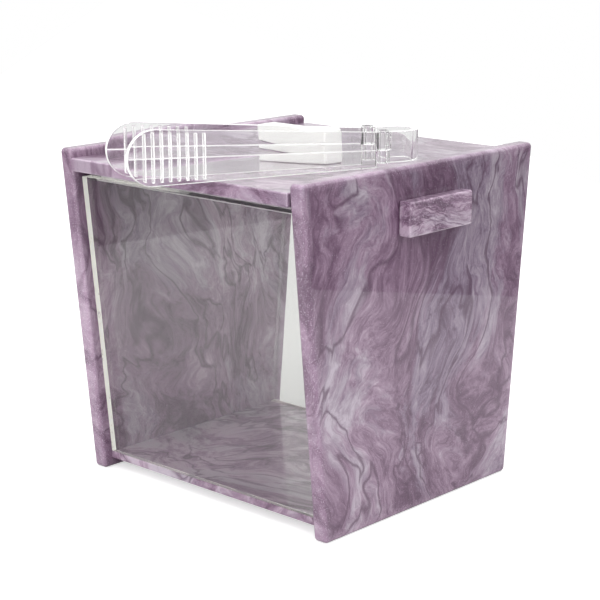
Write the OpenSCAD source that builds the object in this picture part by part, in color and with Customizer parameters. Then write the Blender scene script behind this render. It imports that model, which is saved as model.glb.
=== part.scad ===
// Ice bucket of marbled and clear acrylic sheet, with a lift-off lid and a pair of ice tongs lying on it.
// Two marbled side panels carry clear front and back windows, a raised bottom plate and the lid ledges.
// X runs across the bucket, Y from front to back, Z up. Millimetres and degrees.

/* [Bucket] */
// Width across the outer faces of the side panels
bucket_w = 158.8; // [140:0.2:180]
// Height of the side panels
bucket_h = 165; // [150:1:180]
// Depth of a side panel at its top
top_depth = 165.8; // [150:0.2:180]
// Depth of a side panel at its foot
foot_depth = 134.2; // [120:0.2:145]
// Thickness of the marbled side panels
panel_t = 8; // [5:0.5:10]
// Rounding of the side panels' corners
panel_corner_r = 2.2; // [1:0.1:5]

/* [Windows and bottom] */
// Thickness of the clear windows
window_t = 6; // [3:0.5:8]
// How far a window stands back from the side panels' edges
window_setback = 5.4; // [3:0.1:10]
// Height of the windows' top edges above the table
window_top = 151; // [140:0.5:152]
// Height of the bottom plate's underside above the table
plate_lift = 4.8; // [2:0.1:10]
// Thickness of the bottom plate
plate_t = 3.6; // [3:0.1:8]

/* [Lid] */
// Height of the lid's underside above the table
lid_z = 154.4; // [153:0.1:156]
// Thickness of the lid
lid_t = 6.4; // [5:0.1:8]
// Depth of the lid from its front edge to its back edge
lid_depth = 166; // [150:0.5:170]
// Gap between the lid and each side panel
lid_gap = 0.4; // [0.2:0.1:1]
// Thickness of the locating plate under the lid
locator_t = 5; // [3:0.1:8]
// Play of the locating plate inside the windows and the ledges
locator_gap = 0.8; // [0.4:0.1:1.5]
// Width of the ledges that carry the lid
ledge_w = 5; // [3:0.5:8]
// Length of the lid's knob, across the lid
knob_l = 44.5; // [30:0.5:60]
// Height and depth of the lid's knob
knob_size = 12.7; // [8:0.1:16]

/* [Handles] */
// Length of each side handle
handle_l = 45.5; // [30:0.5:70]
// Height of each side handle
handle_h = 16.2; // [10:0.2:30]
// How far each side handle stands out
handle_t = 7.2; // [5:0.1:12]
// Height of the handles' middle above the table
handle_z = 141.8; // [120:0.2:150]
// How far the handles' middle lies behind the bucket's middle
handle_back = 3.4; // [-10:0.2:10]

/* [Tongs] */
// Length of an arm from its hinge pin to its tip
arm_l = 125; // [110:1:140]
// Thickness of an arm at its middle ridge
arm_t = 3.4; // [2.8:0.1:4]
// Radius of the round paddle at an arm's tip
paddle_r = 12.3; // [10:0.1:14]
// Height of an arm at its hinge
arm_rear_h = 16.4; // [14:0.1:18]
// Slope of the two outer planes that meet at an arm's ridge
ridge_slope = 4; // [1:0.5:5]
// Number of gripping ribs in each paddle
rib_count = 8; // [3:1:9]
// Distance from one rib to the next
rib_pitch = 4; // [3:0.1:5]
// Half the distance between the two hinge pins
pin_half_gap = 8.3; // [7:0.1:10]
// How far each arm opens from the tongs' middle line
arm_spread = 3; // [2:0.1:4]
// Diameter of the hinge barrels
barrel_d = 6.4; // [5:0.1:7]
// Diameter of the hinge pins
pin_d = 2.6; // [2:0.1:3]
// Distance from the hinge pins to the middle of the bow's bend
bow_reach = 11.3; // [8:0.1:15]
// Wall thickness of the bow
bow_t = 3; // [2:0.1:4]
// Turn of the tongs on the lid, away from straight forward
tongs_turn = 23.6; // [0:0.1:30]
// Place of the tongs' hinge on the lid, to the right of the bucket's middle
tongs_x = 50.3; // [30:0.1:51]
// Place of the tongs' hinge on the lid, in front of the bucket's middle
tongs_front = 1.6; // [0:0.1:10]

/* [Hidden] */
$fn = 48;

marble = [0.66, 0.54, 0.66];
clear = [0.88, 0.93, 0.92, 0.4];
opal = [0.94, 0.94, 0.93];

inner_w = bucket_w - 2 * panel_t;
inner_x = inner_w / 2;
lid_top = lid_z + lid_t;
plate_top = plate_lift + plate_t;
handle_corner_r = 1.2;
lid_corner_r = 0.8;
knob_corner_r = 1.4;
ledge_rise = 5.2;
seat_gap = 0.2;                        // air between a loose piece and what carries it
tongs_z = lid_top + seat_gap;

arm_rest_h = arm_rear_h / 2;           // height at which the two barrels of a hinge meet
barrel_gap = 0.2;
hinge_clear = 3.6;                     // distance kept from the pin by whatever must pass a barrel
bore_clear = 0.05;
pin_head_d = 5.6;
pin_head_t = 0.7;
bow_r = pin_half_gap + bow_t / 2;
bow_foot = 2;
bow_top = arm_rear_h - 0.2;
rib_w = 1.1;
rib_h = 1.2;
rib_inset = 1.5;
first_rib = 8.5;                       // from the tip

// The loose tongs overhang the lid, so the bucket stands back by half of that for the origin to be central
front_turn = arm_spread - tongs_turn;
tongs_reach = tongs_front + pin_half_gap * sin(tongs_turn)
    + arm_l * cos(front_turn) - arm_t / 2 * sin(front_turn);
bucket_y = (tongs_reach - lid_depth / 2) / 2;

// Half the depth of the leaning side panels at height z
function half_depth(z) = (foot_depth + (top_depth - foot_depth) * z / bucket_h) / 2;

// Distance of a window's outer face from the middle plane at height z
function window_face(z) = half_depth(z) - window_setback;

function unit(v) = v / norm(v);

// Arc that rounds corner b between its neighbours a and c
function corner(a, b, c, r, steps = 8) =
    let (
        u = unit(a - b),
        w = unit(c - b),
        half = acos(u * w) / 2,
        centre = b + unit(u + w) * r / sin(half),
        first = b + u * r / tan(half) - centre,
        last = b + w * r / tan(half) - centre,
        sweep = (180 - 2 * half) * sign(cross(first, last))
    )
    [for (i = [0:steps])
        let (t = sweep * i / steps)
        centre + [first.x * cos(t) - first.y * sin(t), first.x * sin(t) + first.y * cos(t)]];

// Outline with every corner rounded by r
function rounded(points, r) =
    let (n = len(points))
    [for (i = [0:n - 1]) each corner(points[(i + n - 1) % n], points[i], points[(i + 1) % n], r)];

// Outline of a rectangle centred on the origin
function box_outline(w, d) = [[-w / 2, -d / 2], [w / 2, -d / 2], [w / 2, d / 2], [-w / 2, d / 2]];

// Stands a Y-Z outline up as a plate of thickness t, centred on X = 0
module upright(points, t) {
    translate([-t / 2, 0, 0])
        rotate([90, 0, 90])
            linear_extrude(height = t)
                polygon(points);
}

// Moves the bucket's parts to their place in the row frame
module in_frame() {
    translate([0, bucket_y, 0])
        children();
}

module side_panel(side) {
    outline = [
        [-half_depth(0), 0], [half_depth(0), 0],
        [half_depth(bucket_h), bucket_h], [-half_depth(bucket_h), bucket_h]
    ];
    color(marble)
        in_frame()
            translate([side * (inner_w + panel_t) / 2, 0, 0])
                upright(rounded(outline, panel_corner_r), panel_t);
}

module window(side) {
    outline = [
        [side * window_face(plate_top), plate_top],
        [side * window_face(window_top), window_top],
        [side * (window_face(window_top) - window_t), window_top],
        [side * (window_face(plate_top) - window_t), plate_top]
    ];
    color(clear)
        in_frame()
            upright(outline, inner_w);
}

module bottom_plate() {
    half = window_face(plate_top);
    color(marble)
        in_frame()
            translate([-inner_x, -half, plate_lift])
                cube([inner_w, 2 * half, plate_t]);
}

module handle(side) {
    color(marble)
        in_frame()
            translate([side * (bucket_w + handle_t) / 2, handle_back, handle_z])
                upright(rounded(box_outline(handle_l, handle_h), handle_corner_r), handle_t);
}

module lid_ledge(side) {
    length = 2 * (window_face(lid_z - ledge_rise) - window_t) - 2;
    color(clear)
        in_frame()
            translate([side * (inner_x - ledge_w / 2), 0, lid_z - seat_gap - ledge_rise / 2])
                cube([ledge_w, length, ledge_rise], center = true);
}

module lid_plate() {
    color(marble)
        in_frame()
            translate([0, 0, lid_z])
                linear_extrude(height = lid_t)
                    polygon(rounded(box_outline(inner_w - 2 * lid_gap, lid_depth), lid_corner_r));
}

module lid_locating_plate() {
    w = inner_w - 2 * (ledge_w + locator_gap);
    d = 2 * (window_face(lid_z - locator_t) - window_t - locator_gap);
    color(clear)
        in_frame()
            translate([0, 0, lid_z - locator_t])
                linear_extrude(height = locator_t)
                    polygon(rounded(box_outline(w, d), lid_corner_r));
}

module lid_knob() {
    color(opal)
        in_frame()
            translate([0, 0, lid_top])
                linear_extrude(height = knob_size)
                    polygon(rounded(box_outline(knob_l, knob_size), knob_corner_r));
}

// Places the tongs' own frame: hinge line on X, the arms towards -Y, the lid's top at Z = 0
module on_lid() {
    in_frame()
        translate([tongs_x, -tongs_front, tongs_z])
            rotate([0, 0, -tongs_turn])
                children();
}

module barrel(bottom, top) {
    translate([0, 0, bottom])
        cylinder(d = barrel_d, h = top - bottom);
}

module pin_bore() {
    translate([0, 0, -1])
        cylinder(d = pin_d + 2 * bore_clear, h = arm_rear_h + 2);
}

// Side outline of an arm, shrunk by inset, with its tip at Y = -arm_l
function arm_outline(inset) =
    let (
        r = paddle_r - inset,
        rise = 2 * paddle_r - arm_rear_h,
        lean = asin(rise / (arm_l - paddle_r - hinge_clear))
    )
    concat(
        [for (i = [0:32])
            let (a = 90 - lean + (180 + lean) * i / 32)
            [paddle_r - arm_l + r * cos(a), paddle_r + r * sin(a)]],
        [[-hinge_clear, inset], [-hinge_clear, arm_rear_h - inset]]
    );

// Removes what lies outside the plane that leans away from the arm's middle ridge
module ridge_cut(upper) {
    fall = atan((paddle_r - arm_rest_h) / (arm_l - paddle_r - hinge_clear));
    translate([arm_t / 2, -hinge_clear, arm_rest_h])
        rotate([-fall, 0, 0])
            rotate([0, upper ? -ridge_slope : ridge_slope, 0])
                translate([0, -arm_l - 20, upper ? 0 : -40])
                    cube([10, arm_l + 40, 40]);
}

module ribs() {
    intersection() {
        translate([-arm_t / 2 - rib_h / 2, 0, 0])
            upright(arm_outline(rib_inset), rib_h + 0.4);
        union() {
            for (i = [0:rib_count - 1])
                translate([-arm_t - rib_h, -arm_l + first_rib + i * rib_pitch - rib_w / 2, 0])
                    cube([arm_t + rib_h, rib_w, 2 * paddle_r]);
        }
    }
}

// One arm about its pin: outer face towards +X, gripping ribs towards -X
module arm() {
    difference() {
        union() {
            difference() {
                upright(arm_outline(0), arm_t);
                ridge_cut(true);
                ridge_cut(false);
            }
            ribs();
            translate([-bow_t / 2, -hinge_clear - 0.5, arm_rest_h + barrel_gap / 2])
                cube([bow_t, hinge_clear + 0.5, arm_rest_h - barrel_gap / 2]);
            barrel(arm_rest_h + barrel_gap / 2, arm_rear_h);
        }
        pin_bore();
    }
}

module tongs_front_arm() {
    color(clear)
        on_lid()
            translate([pin_half_gap, 0, 0])
                rotate([0, 0, arm_spread])
                    arm();
}

module tongs_back_arm() {
    color(clear)
        on_lid()
            translate([-pin_half_gap, 0, 0])
                rotate([0, 0, -arm_spread])
                    mirror([1, 0, 0])
                        arm();
}

// Plan of a bend of radius r with two straight sides that run back to Y = start
module bend_plan(r, start) {
    translate([0, bow_reach])
        circle(r = r);
    translate([-r, start])
        square([2 * r, bow_reach - start]);
}

// Plan of the bow: its wall, with a hinge barrel at each end
module bow_plan() {
    difference() {
        bend_plan(bow_r, 0);
        bend_plan(bow_r - bow_t, -1);
    }
    for (side = [-1, 1])
        translate([side * pin_half_gap, 0])
            circle(d = barrel_d);
}

// The upper half is cut back at the hinges, to leave room for the arms' barrels
module tongs_bow() {
    split = arm_rest_h - barrel_gap / 2;
    color(clear)
        on_lid()
            difference() {
                translate([0, 0, bow_foot])
                    linear_extrude(height = bow_top - bow_foot)
                        bow_plan();
                translate([-bow_r - barrel_d, -barrel_d, split])
                    cube([2 * (bow_r + barrel_d), barrel_d + hinge_clear, bow_top]);
                for (side = [-1, 1])
                    translate([side * pin_half_gap, 0, 0])
                        pin_bore();
            }
}

module tongs_pin(side) {
    color(clear)
        on_lid()
            translate([side * pin_half_gap, 0, 0]) {
                translate([0, 0, bow_foot])
                    cylinder(d = pin_d, h = arm_rear_h + barrel_gap - bow_foot);
                translate([0, 0, arm_rear_h + barrel_gap])
                    cylinder(d = pin_head_d, h = pin_head_t);
            }
}

side_panel(-1);  // left_side_panel
side_panel(1);  // right_side_panel
window(-1);  // front_window
window(1);  // back_window
bottom_plate();
handle(-1);  // left_handle
handle(1);  // right_handle
lid_ledge(-1);  // left_lid_ledge
lid_ledge(1);  // right_lid_ledge
lid_plate();
lid_locating_plate();
lid_knob();
tongs_bow();
tongs_pin(1);  // tongs_front_pin
tongs_pin(-1);  // tongs_back_pin
tongs_front_arm();
tongs_back_arm();
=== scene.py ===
import math

import bpy
from mathutils import Matrix, Vector


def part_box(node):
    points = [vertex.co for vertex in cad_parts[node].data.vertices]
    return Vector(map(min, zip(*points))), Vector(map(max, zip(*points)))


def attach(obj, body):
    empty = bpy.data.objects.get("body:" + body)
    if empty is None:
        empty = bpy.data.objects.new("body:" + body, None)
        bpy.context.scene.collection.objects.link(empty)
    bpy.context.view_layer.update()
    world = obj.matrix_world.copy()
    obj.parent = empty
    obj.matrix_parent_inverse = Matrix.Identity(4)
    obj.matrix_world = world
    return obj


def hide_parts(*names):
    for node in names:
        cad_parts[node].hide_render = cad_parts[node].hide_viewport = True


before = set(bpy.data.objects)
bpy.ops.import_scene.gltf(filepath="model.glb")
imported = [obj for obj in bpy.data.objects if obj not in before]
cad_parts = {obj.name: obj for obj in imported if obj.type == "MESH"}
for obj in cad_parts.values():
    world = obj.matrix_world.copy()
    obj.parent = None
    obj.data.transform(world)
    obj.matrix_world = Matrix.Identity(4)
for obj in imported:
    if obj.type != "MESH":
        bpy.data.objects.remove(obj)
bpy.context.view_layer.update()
scene = bpy.context.scene
scene.view_settings.view_transform = "Standard"
scene.cycles.max_bounces = 20
scene.cycles.transmission_bounces = 20
scene.cycles.glossy_bounces = 8

# ---- Camera ----
# A long lens a little above the lid, at the bucket's right front corner. It is turned and tilted, so
# its aim is worked out from its yaw, pitch and roll.
camera = bpy.data.objects.new("camera", bpy.data.cameras.new("camera"))
scene.collection.objects.link(camera)
scene.camera = camera
camera.data.sensor_width = 36
camera.data.lens = 101.09
camera.data.clip_start = 0.01
camera_place = (0.5523, -0.57198, 0.28718)
camera_yaw, camera_pitch, camera_roll = 0.74993, 0.24175, -0.00261
level = math.cos(camera_pitch)
forward = Vector((-math.sin(camera_yaw) * level, math.cos(camera_yaw) * level, -math.sin(camera_pitch)))
sideways = Vector((math.cos(camera_yaw), math.sin(camera_yaw), 0))
upward = sideways.cross(forward)
tilt = Matrix.Rotation(camera_roll, 3, "Z")
aim = Matrix((sideways, upward, -forward)).transposed() @ tilt
camera.matrix_world = Matrix.Translation(camera_place) @ aim.to_4x4()


# ---- Studio ----
# White paper on the table, cut off behind the bucket on the right and in front of it on the left, and a bright
# room with two soft lamps. None of it is part of the bucket.
class Wire:
    """An output socket of a shader tree; arithmetic on it adds Math nodes."""

    def __init__(self, tree, socket):
        self.tree = tree
        self.socket = socket

    def make(self, kind, settings=None, out=0, **inputs):
        """Adds a node of any kind, sets it up, fills or links its sockets and returns one output. A socket is
        given by its name, or by its number after an n."""
        node = self.tree.nodes.new(kind)
        for key, value in (settings or {}).items():
            if key == "stops":
                ramp = node.color_ramp
                while len(ramp.elements) < len(value):
                    ramp.elements.new(0.5)
                for element, (place, colour) in zip(ramp.elements, value):
                    element.position = place
                    element.color = (*colour, 1)
            else:
                setattr(node, key, value)
        for key, value in inputs.items():
            numbered = key[0] == "n" and key[1:].isdigit()
            socket = node.inputs[int(key[1:]) if numbered else key.replace("_", " ")]
            if isinstance(value, Wire):
                self.tree.links.new(value.socket, socket)
            else:
                socket.default_value = value
        return Wire(self.tree, node.outputs[out])

    def maths(self, operation, *values):
        return self.make("ShaderNodeMath", {"operation": operation}, **{f"n{i}": v for i, v in enumerate(values)})

    def __add__(self, other):
        return self.maths("ADD", self, other)

    def __radd__(self, other):
        return self.maths("ADD", other, self)

    def __sub__(self, other):
        return self.maths("SUBTRACT", self, other)

    def __rsub__(self, other):
        return self.maths("SUBTRACT", other, self)

    def __mul__(self, other):
        return self.maths("MULTIPLY", self, other)

    def __rmul__(self, other):
        return self.maths("MULTIPLY", other, self)

    def __abs__(self):
        return self.maths("ABSOLUTE", self)

    def least(self, other):
        return self.maths("MINIMUM", self, other)

    def ramp(self, low, high, start=0.0, end=1.0):
        """A smooth step from start at low to end at high."""
        kind = {"interpolation_type": "SMOOTHSTEP"}
        return self.make("ShaderNodeMapRange", kind, n0=self, n1=low, n2=high, n3=start, n4=end)

    def blend(self, first, second):
        """A colour between first and second, by this factor."""
        return self.make("ShaderNodeMix", {"data_type": "RGBA"}, out=2, n0=self, n6=first, n7=second)


def new_material(name):
    """A material, its Principled shader's sockets, and a Wire to start from."""
    material = bpy.data.materials.new(name)
    material.use_nodes = True
    tree = material.node_tree
    return material, tree.nodes["Principled BSDF"].inputs, Wire(tree, None)


bpy.ops.object.select_all(action="DESELECT")
bpy.ops.mesh.primitive_plane_add(size=8, location=(0, 0, 0))
paper_cuts = (((0.56, 0.83, 0), 0.488), ((-0.72, -0.69, 0), 0.426))
paper = bpy.context.object
paper.name = "paper"
bpy.ops.object.mode_set(mode="EDIT")
for outward, reach in paper_cuts:
    bpy.ops.mesh.select_all(action="SELECT")
    bpy.ops.mesh.bisect(plane_co=Vector(outward) * reach, plane_no=outward, clear_outer=True)
bpy.ops.object.mode_set(mode="OBJECT")
paper_material, sockets, wire = new_material("white_paper")
sockets["Base Color"].default_value = (0.66, 0.66, 0.66, 1)
sockets["Roughness"].default_value = 0.9
sockets["Specular IOR Level"].default_value = 0.1
sockets["Emission Strength"].default_value = 0.55
lift_white = wire.make("ShaderNodeLightPath", out="Is Camera Ray").blend((0, 0, 0, 1), (1, 1, 1, 1))
paper_material.node_tree.links.new(lift_white.socket, sockets["Emission Color"])
paper.data.materials.append(paper_material)

room = bpy.data.worlds.new("room")
scene.world = room
room.use_nodes = True
wire = Wire(room.node_tree, None)
background = room.node_tree.nodes["Background"]
direction = wire.make("ShaderNodeTexCoord", out=0)
height = wire.make("ShaderNodeSeparateXYZ", out=2, n0=direction)
walls = height.ramp(-0.03, 0.0, 0.22, 0.6) + height.ramp(0.0, 0.55, 0.0, 0.6)
straight = wire.make("ShaderNodeLightPath", out="Is Camera Ray")
refracted = wire.make("ShaderNodeLightPath", out="Is Transmission Ray")
indoors = wire.make("ShaderNodeLightPath", out="Diffuse Depth").least(1.0)
through_glass, extra_indoors = 0.86, 2.8
glow = refracted * (through_glass + indoors * extra_indoors) + (1 - refracted) * walls
glow = straight + (1 - straight) * glow
room.node_tree.links.new(glow.socket, background.inputs["Strength"])
background.inputs["Color"].default_value = (1, 1, 1, 1)


def lamp(name, place, aim_at, width, depth, watts):
    """A soft rectangular lamp at place, turned towards aim_at."""
    light = bpy.data.lights.new(name, "AREA")
    light.shape = "RECTANGLE"
    light.size, light.size_y, light.energy = width, depth, watts
    item = bpy.data.objects.new(name, light)
    scene.collection.objects.link(item)
    item.location = place
    item.rotation_euler = (Vector(aim_at) - Vector(place)).to_track_quat("-Z", "Y").to_euler()


bucket_middle = (0, 0.02, 0.1)
lamp("top_lamp", (0.0, 0.05, 1.1), bucket_middle, 1.2, 1.2, 4.9)
lamp("front_lamp", (0.1, -1.1, 0.55), bucket_middle, 0.9, 0.7, 4.2)


# ---- Side panels ----
# Two sheets of pearl-marbled acrylic, wider at the top, with polished rounded edges. Everything else is
# cemented between them.
merge_gap = 0.00001
flat_angle, sharp_angle = math.radians(0.6), math.radians(32)
ridge_angles = math.radians(4), math.radians(14)
ridge_length = 0.02


def merge_corners():
    """Joins vertices of the active mesh that are at one place."""
    bpy.ops.object.mode_set(mode="EDIT")
    bpy.ops.mesh.select_all(action="SELECT")
    bpy.ops.mesh.remove_doubles(threshold=merge_gap)


def select_ridge(mesh):
    """Selects the long edges where two faces meet at a very blunt angle, and nothing else."""
    corners, beside = mesh.vertices, {}
    for face in mesh.polygons:
        face.select = False
        for key in face.edge_keys:
            beside.setdefault(key, []).append(face.normal.copy())
    for corner in corners:
        corner.select = False
    for line in mesh.edges:
        normals = beside.get(line.key, [])
        start, end = (corners[i].co for i in line.vertices)
        line.select = ((end - start).length > ridge_length and len(normals) == 2
                       and ridge_angles[0] < normals[0].angle(normals[1]) < ridge_angles[1])


def cut_piece(node, name, body, edge, segments=3, shrink_x=0.0, ridge=0.0):
    """The CAD solid's merged copy with its sharp edges rounded; it stands for the node. A ridge is a long
    blunt edge, which gets a flat of that width."""
    piece = bpy.data.objects.new(name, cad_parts[node].data.copy())
    piece.data.materials.clear()
    scene.collection.objects.link(piece)
    bpy.ops.object.select_all(action="DESELECT")
    piece.select_set(True)
    bpy.context.view_layer.objects.active = piece
    merge_corners()
    bpy.ops.mesh.dissolve_limited(angle_limit=flat_angle)
    if shrink_x:
        low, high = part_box(node)
        factor = 1 - 2 * shrink_x / (high[0] - low[0])
        bpy.ops.transform.resize(value=(factor, 1, 1), center_override=((high[0] + low[0]) / 2, 0, 0))
    bpy.ops.object.mode_set(mode="OBJECT")
    if piece.data.has_custom_normals:
        bpy.ops.mesh.customdata_custom_splitnormals_clear()
    if ridge:
        select_ridge(piece.data)
        bpy.ops.object.mode_set(mode="EDIT")
        bpy.ops.mesh.select_mode(type="EDGE")
        bpy.ops.mesh.bevel(offset=ridge, offset_type="WIDTH", segments=1)
        bpy.ops.object.mode_set(mode="OBJECT")
    rounding = piece.modifiers.new("rounding", "BEVEL")
    rounding.width = edge
    rounding.segments = segments
    rounding.use_clamp_overlap = not ridge
    rounding.limit_method = "ANGLE"
    rounding.angle_limit = sharp_angle
    bpy.ops.object.modifier_apply(modifier="rounding")
    merge_corners()
    bpy.ops.object.mode_set(mode="OBJECT")
    bpy.ops.object.shade_smooth_by_angle(angle=sharp_angle)
    flats = piece.modifiers.new("flats", "WEIGHTED_NORMAL")
    flats.weight = 100
    flats.keep_sharp = True
    bpy.ops.object.modifier_apply(modifier="flats")
    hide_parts(node)
    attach(piece, body)
    return piece


def rgb(red, green, blue):
    """Linear colour of a display colour given from 0 to 255."""
    return tuple((c / 255 / 12.92) if c < 10 else ((c / 255 + 0.055) / 1.055) ** 2.4 for c in (red, green, blue))


def marble(name, shift, grain, rim=None, contrast=1.0, lift=0.0):
    """Pearl-marbled acrylic: shift picks the part of the block that the sheet was cut from, grain is how
    finely it is figured along X, Y and Z, and rim a function giving the depth in from the sheet's edges.
    Contrast and lift spread and lighten its tones."""
    vein_plum, painted_rim_glow = (*rgb(84, 50, 80), 1), (*rgb(192, 160, 188), 1)
    painted_glint_white, painted_edge_glint_white = (*rgb(232, 218, 234), 1), (*rgb(238, 226, 240), 1)
    material, sockets, wire = new_material(name)
    place = wire.make("ShaderNodeTexCoord", out=3)

    def warp(point, scale, strength, detail):
        noise = wire.make("ShaderNodeTexNoise", out=1, Vector=point, Scale=scale, Detail=detail, Roughness=0.5)
        noise = wire.make("ShaderNodeVectorMath", {"operation": "SUBTRACT"}, n0=noise, n1=(0.5, 0.5, 0.5))
        noise = wire.make("ShaderNodeVectorMath", {"operation": "SCALE"}, n0=noise, Scale=strength)
        return wire.make("ShaderNodeVectorMath", {"operation": "ADD"}, n0=point, n1=noise)

    def figure(point, scale, detail, roughness):
        return wire.make("ShaderNodeTexNoise", Vector=point, Scale=scale, Detail=detail, Roughness=roughness)

    def stretch(point, x=1.0, y=1.0, z=1.0):
        sizes = tuple(g * f for g, f in zip(grain, (x, y, z)))
        return wire.make("ShaderNodeMapping", {"vector_type": "POINT"}, n0=point, n3=sizes)

    block = wire.make("ShaderNodeMapping", {"vector_type": "POINT"}, n0=place, n1=shift)
    swirl = warp(block, 10, 0.10, 1.5)
    curl = warp(swirl, 34, 0.030, 2)
    feather = warp(curl, 130, 0.005, 2)
    broad = figure(stretch(swirl, 1 / 2.2, 1 / 2.2, 1 / 2.2), 1.0, 3, 0.5)
    bands = figure(stretch(feather), 1.0, 9, 0.66)
    threads = figure(stretch(feather, 4.5, 4.5, 4.5), 1.0, 5, 0.65)
    fibres = figure(stretch(feather, 16, 16, 9), 1.0, 4, 0.7)
    veins = abs(figure(stretch(curl, 0.7, 0.7, 0.7), 1.0, 3, 0.5) - 0.5)
    silver = figure(stretch(curl, 0.5, 0.5, 0.5), 1.0, 6, 0.7)

    tone = broad * (0.6 * contrast) + bands * (0.85 * contrast) + threads * (0.5 * contrast)
    tone = tone + fibres * 0.35 + (0.325 + lift - 0.975 * contrast)
    lilac = tone.make("ShaderNodeValToRGB", {"stops": (
        (0.34, rgb(86, 54, 82)), (0.44, rgb(110, 79, 106)), (0.52, rgb(133, 104, 129)),
        (0.61, rgb(158, 131, 154)), (0.74, rgb(198, 176, 195)))}, Fac=tone)
    grey = tone.make("ShaderNodeValToRGB", {"stops": (
        (0.34, rgb(90, 65, 90)), (0.44, rgb(116, 94, 117)), (0.52, rgb(141, 122, 144)),
        (0.61, rgb(165, 149, 166)), (0.74, rgb(198, 185, 199)))}, Fac=tone)
    colour = silver.ramp(0.47, 0.58).blend(lilac, grey)
    colour = veins.ramp(0.0, 0.026, 0.72, 0.0).blend(colour, vein_plum)
    # Painted light: near the sheet's edges a paler lilac glow is painted into the colour.
    if rim:
        x, y, z = (wire.make("ShaderNodeSeparateXYZ", out=i, n0=place) for i in range(3))
        depth = rim(x, y, z)
        glow = depth.ramp(0.0, 0.005, 0.4, 0.0)
        colour = (glow * bands.ramp(0.38, 0.6, 0.25, 1.0)).blend(colour, painted_rim_glow)
    # Painted glints: fine pale specks laid into the colour stand in for sparkle, with more of them near the
    # edges.
    painted_glint_specks = wire.make("ShaderNodeTexNoise", Vector=place, Scale=2800, Detail=1)
    glints = painted_glint_specks.ramp(0.69, 0.75) * 0.6
    colour = glints.blend(colour, painted_glint_white)
    if rim:
        painted_edge_glints = painted_glint_specks.ramp(0.6, 0.7) * depth.ramp(0.0, 0.006, 0.6, 0.0)
        colour = painted_edge_glints.blend(colour, painted_edge_glint_white)
    pearl = silver.ramp(0.42, 0.62, 0.10, 0.34)
    dull = bands.ramp(0.35, 0.65, 0.42, 0.30)
    relief = bands * 0.7 + threads * 0.3
    bump = wire.make("ShaderNodeBump", Height=relief, Strength=0.35, Distance=0.004)
    for value, socket in ((colour, "Base Color"), (pearl, "Metallic"), (dull, "Roughness"), (bump, "Normal")):
        material.node_tree.links.new(value.socket, sockets[socket])
    sockets["Coat Weight"].default_value = 1.0
    sockets["Coat Roughness"].default_value = 0.02
    sockets["Coat IOR"].default_value = 1.49
    return material


panel_low, panel_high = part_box("right_side_panel")
middle_y = (panel_low[1] + panel_high[1]) / 2
corner_cut = 0.0003
half_top = (panel_high[1] - panel_low[1]) / 2 + corner_cut
half_foot = 0.0671
panel_top = panel_high[2]
panel_edge = 0.0019


def panel_rim(x, y, z):
    """Depth in from a side panel's outline, which leans outwards from half_foot to half_top."""
    half = half_foot + z * ((half_top - half_foot) / panel_top)
    sides = half - abs(y - middle_y)
    return sides.least(z).least(panel_top - z)


marble_right = marble("marbled_acrylic_right", (0.31, 0.052, 0.117), (28, 50, 19), panel_rim, 0.85, 0.02)
marble_left = marble("marbled_acrylic_left", (0.87, 0.43, 0.29), (28, 48, 19), panel_rim, 0.8, 0.065)
for side, side_marble in (("right", marble_right), ("left", marble_left)):
    panel = cut_piece(f"{side}_side_panel", f"{side}_panel", "bucket", panel_edge, 6)
    panel.data.materials.append(side_marble)

# ---- Bottom plate ----
# A thinner sheet of the same marbled acrylic, cemented between the panels just clear of the table. Its edges
# are only lightly broken.
broken_edge = 0.0003
bottom_marble = marble("marbled_acrylic_bottom", (0.12, 0.66, 0.52), (20, 52, 40), contrast=1.3, lift=0.2)
bottom = cut_piece("bottom_plate", "bottom", "bucket", broken_edge, 2)
bottom.data.materials.append(bottom_marble)

# ---- Handles ----
# A polished block of marbled acrylic glued to each side panel. Painted glints and a paler painted glow lie
# all over it, as they do along the panels' edges, and its figure runs along its length.
polished_edge = 0.0012


def handle_rim(x, y, z):
    """No depth anywhere, so that the whole handle counts as an edge."""
    return x * 0.0


for side, shift in (("left", (1.066, 0.83, 0.6)), ("right", (0.9, 0.83, 0.6))):
    handle_marble = marble(f"marbled_acrylic_{side}_handle", shift, (50, 9, 110), handle_rim, 2.4, 0.2)
    handle = cut_piece(f"{side}_handle", f"{side}_grip", "bucket", polished_edge, 5)
    handle.data.materials.append(handle_marble)

# ---- Lid ----
# A marbled acrylic sheet that lies between the panels. Its edges are rounded and polished, and extra painted
# glints and a paler painted glow lie along them at the front and the back.
lid_low, lid_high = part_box("lid_plate")


def lid_rim(x, y, z):
    """Depth in from the lid's front and back edges."""
    return ((lid_high[1] - lid_low[1]) / 2) - abs(y - middle_y)


lid_marble = marble("marbled_acrylic_lid", (0.72, 0.15, 0.61), (26, 46, 40), lid_rim, lift=0.05)
lid = cut_piece("lid_plate", "lid", "lid", polished_edge, 5)
lid.data.materials.append(lid_marble)

# ---- Windows ----
# Clear cast acrylic sheets, cemented between the panels on clouded cement. Their glued ends show the marble
# behind them, and a hair's breadth of air is left there.
facing_limit = 0.9


def glowing(sockets, colour, strength):
    """Lets a pale finish glow a little, as acrylic does that pipes the room's light."""
    sockets["Emission Color"].default_value = (*colour, 1)
    sockets["Emission Strength"].default_value = strength


def clear_acrylic(name, tint, roughness=0.0, clear=1.0, glow=0.0):
    """Clear acrylic, or clouded where it is rough or less than fully clear."""
    material, sockets, _ = new_material(name)
    sockets["Base Color"].default_value = (*tint, 1)
    sockets["Transmission Weight"].default_value = clear
    sockets["Roughness"].default_value = roughness
    sockets["IOR"].default_value = 1.49
    if glow:
        glowing(sockets, (1, 1, 0.98), glow)
    return material


def paint_faces(piece, material, chosen):
    """Gives the material to the faces that chosen picks by their normal and centre."""
    piece.data.materials.append(material)
    newest = len(piece.data.materials) - 1
    for face in piece.data.polygons:
        if chosen(face.normal, face.center):
            face.material_index = newest


# The windows' grey tint is partly the sheet's own and partly painted shade: it darkens the paper seen through
# them, which lies in the bucket's shadow.
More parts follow.
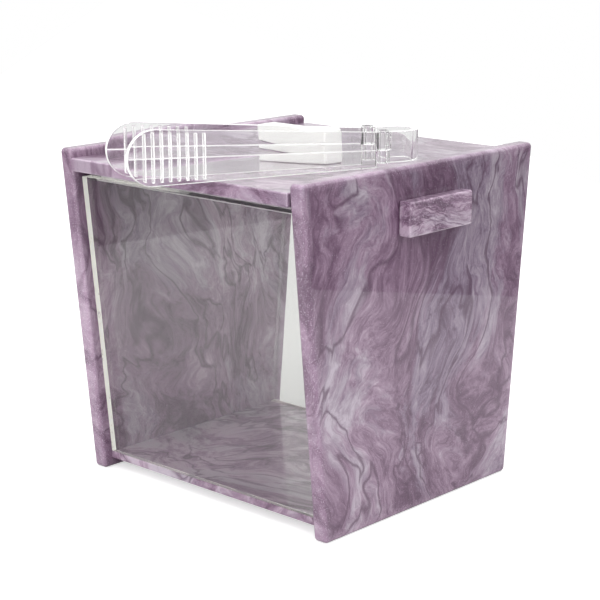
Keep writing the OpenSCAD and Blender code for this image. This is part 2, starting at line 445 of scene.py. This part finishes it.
window_acrylic = clear_acrylic("clear_acrylic_window", (0.9, 0.905, 0.89))
cement, sockets, wire = new_material("clouded_cement")
place = wire.make("ShaderNodeTexCoord", out=3)
clouds = wire.make("ShaderNodeTexNoise", Vector=place, Scale=90, Detail=5, Roughness=0.65)
foot = wire.make("ShaderNodeSeparateXYZ", out=2, n0=place).ramp(0.0, 0.06, -0.13, 0.0)
cement_colour = (clouds + foot).ramp(0.28, 0.4).blend((*rgb(150, 142, 148), 1), (*rgb(240, 240, 230), 1))
cement.node_tree.links.new(cement_colour.socket, sockets["Base Color"])
sockets["Roughness"].default_value = 0.6
# Painted light: the cement is given a glow, so that its strips read bright.
glowing(sockets, (1, 1, 0.96), 0.28)
air_film = 0.00003
for side in ("front", "back"):
    window = cut_piece(f"{side}_window", f"{side}_pane", "bucket", broken_edge, 2, air_film)
    window.data.materials.append(window_acrylic)
    paint_faces(window, marble_left, lambda normal, centre: abs(normal.x) > facing_limit)
    # The front window's left end is given the cement as well; its painted glow makes the bright strip there.
    paint_faces(window, cement, lambda normal, centre: (
        normal.z < -facing_limit or (side == "front" and normal.x < -facing_limit)))

# ---- Lid ledges and locating plate ----
# Clear acrylic strips glued inside the panels carry the lid. A clear plate cemented under the lid drops between
# them; its edges are left as sawn.
glued_from = 0.0705
inner_acrylic = clear_acrylic("clear_acrylic_inner", (0.985, 0.99, 0.985))
for side in ("left", "right"):
    ledge = cut_piece(f"{side}_lid_ledge", f"{side}_ledge", "bucket", broken_edge, 2)
    ledge.data.materials.append(inner_acrylic)
    paint_faces(ledge, marble_left, lambda normal, centre: (
        abs(normal.x) > facing_limit and abs(centre.x) > glued_from))
locating = cut_piece("lid_locating_plate", "locating_plate", "lid", broken_edge, 2)
locating.data.materials.append(inner_acrylic)
sawn_edge = clear_acrylic("clear_acrylic_sawn_edge", (0.72, 0.66, 0.71), roughness=0.5, clear=0.3)
paint_faces(locating, marble_left, lambda normal, centre: normal.z > facing_limit)
paint_faces(locating, sawn_edge, lambda normal, centre: abs(normal.z) < facing_limit)

# ---- Knob ----
# A bar of white acrylic with softly rounded edges, cemented to the lid's middle. A painted glow stands in
# for the little light it lets through, so its shaded sides stay pale.
soft_edge = 0.0007
knob = cut_piece("lid_knob", "knob", "lid", soft_edge, 4)
opal, sockets, _ = new_material("opal_acrylic")
sockets["Base Color"].default_value = (0.84, 0.86, 0.82, 1)
sockets["Roughness"].default_value = 0.15
glowing(sockets, (1, 1, 0.97), 0.12)
knob.data.materials.append(opal)

# ---- Tongs ----
# Two clear moulded acrylic arms with ribbed paddles, pinned to a springy bow. Light piped through the moulding
# shows at its edges and ribs, and along each arm's middle ridge.
tongs_acrylic = clear_acrylic("clear_acrylic_tongs", (0.99, 0.992, 0.99))
lit_edge = clear_acrylic("lit_acrylic_edge", (0.93, 0.94, 0.93), roughness=0.2, clear=0.55, glow=0.25)
lit_ribs = clear_acrylic("lit_acrylic_ribs", (0.93, 0.94, 0.93), roughness=0.12, clear=0.85, glow=0.12)
tongs_turn, arm_spread = 23.6, 3
ridge_flat, rib_foot, barrel_reach = 0.0006, 0.0023, 0.004
edge_on, square_on, bow_rim = 0.8, 0.9995, 0.5
for side, turn, outer in (("front", arm_spread - tongs_turn, 1), ("back", -arm_spread - tongs_turn, -1)):
    arm_node, arm_name = f"tongs_{side}_arm", f"{side}_tongs_arm"
    arm = cut_piece(arm_node, arm_name, f"{side}_arm", broken_edge, 2, ridge=ridge_flat)
    arm.data.materials.append(tongs_acrylic)
    pin_low, pin_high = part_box(f"tongs_{side}_pin")
    pin = (Vector(pin_low) + Vector(pin_high)) / 2
    across = Vector((math.cos(math.radians(turn)), math.sin(math.radians(turn)), 0)) * outer
    length = Vector((across.y, -across.x, 0)) * outer

    def beyond_barrel(centre):
        return (centre - pin).dot(length) > barrel_reach

    def on_outline_or_ridge(normal, centre):
        facing = normal.dot(across)
        return beyond_barrel(centre) and (abs(facing) < edge_on or facing > square_on)

    def on_rib(normal, centre):
        return beyond_barrel(centre) and (centre - pin).dot(across) < -rib_foot

    paint_faces(arm, lit_edge, on_outline_or_ridge)
    paint_faces(arm, lit_ribs, on_rib)

for node, name in (("tongs_bow", "bow"), ("tongs_front_pin", "front_pin"), ("tongs_back_pin", "back_pin")):
    part = cut_piece(node, name, "tongs", broken_edge, 2)
    part.data.materials.append(tongs_acrylic)
    if name == "bow":
        paint_faces(part, lit_edge, lambda normal, centre: abs(normal.z) > bow_rim)
